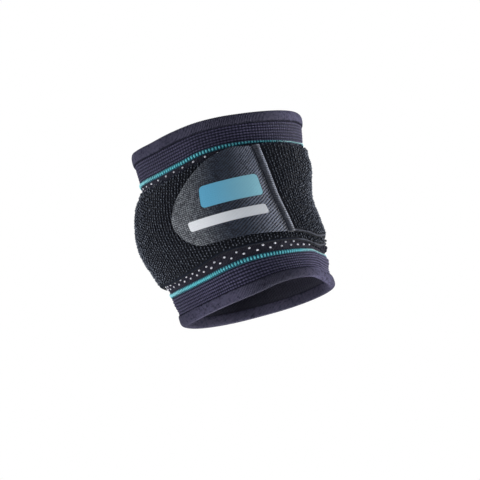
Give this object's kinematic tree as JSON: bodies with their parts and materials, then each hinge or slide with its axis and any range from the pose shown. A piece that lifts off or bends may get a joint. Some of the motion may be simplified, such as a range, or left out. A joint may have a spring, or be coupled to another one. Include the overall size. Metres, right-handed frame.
{
  "type": "elbow support",
  "caption": "Knitted elbow sleeve with ribbed cuffs, turned hems and teal stripes, wrapped by a black loop-pile strap that closes on itself with a grey hook tab, in its worn form",
  "frame": {"origin": "on the arm's axis, halfway along the sleeve, where the arm passes through", "axes": "+Z along the arm from the forearm's hem up to the upper arm's hem, -Y the front with the tab, +X the right side seen from the front"},
  "size_m": [0.1045, 0.1002, 0.0994],
  "materials": {
    "charcoal_knit": "knitted",
    "teal_yarn": "knitted",
    "black_loop_elastic": "loop pile",
    "grey_coated_cloth": "coated weave",
    "black_hook_tape": "hooks"
  },
  "bodies": {
    "root": {"knit_sleeve": "charcoal_knit", "upper_hem": "charcoal_knit", "lower_hem": "charcoal_knit", "upper_stripe": "teal_yarn", "lower_stripe": "teal_yarn", "strap": "black_loop_elastic", "hook_tape": "black_hook_tape", "tab_face": "grey_coated_cloth", "tab_seam": "grey_coated_cloth"}
  },
  "joints": []
}
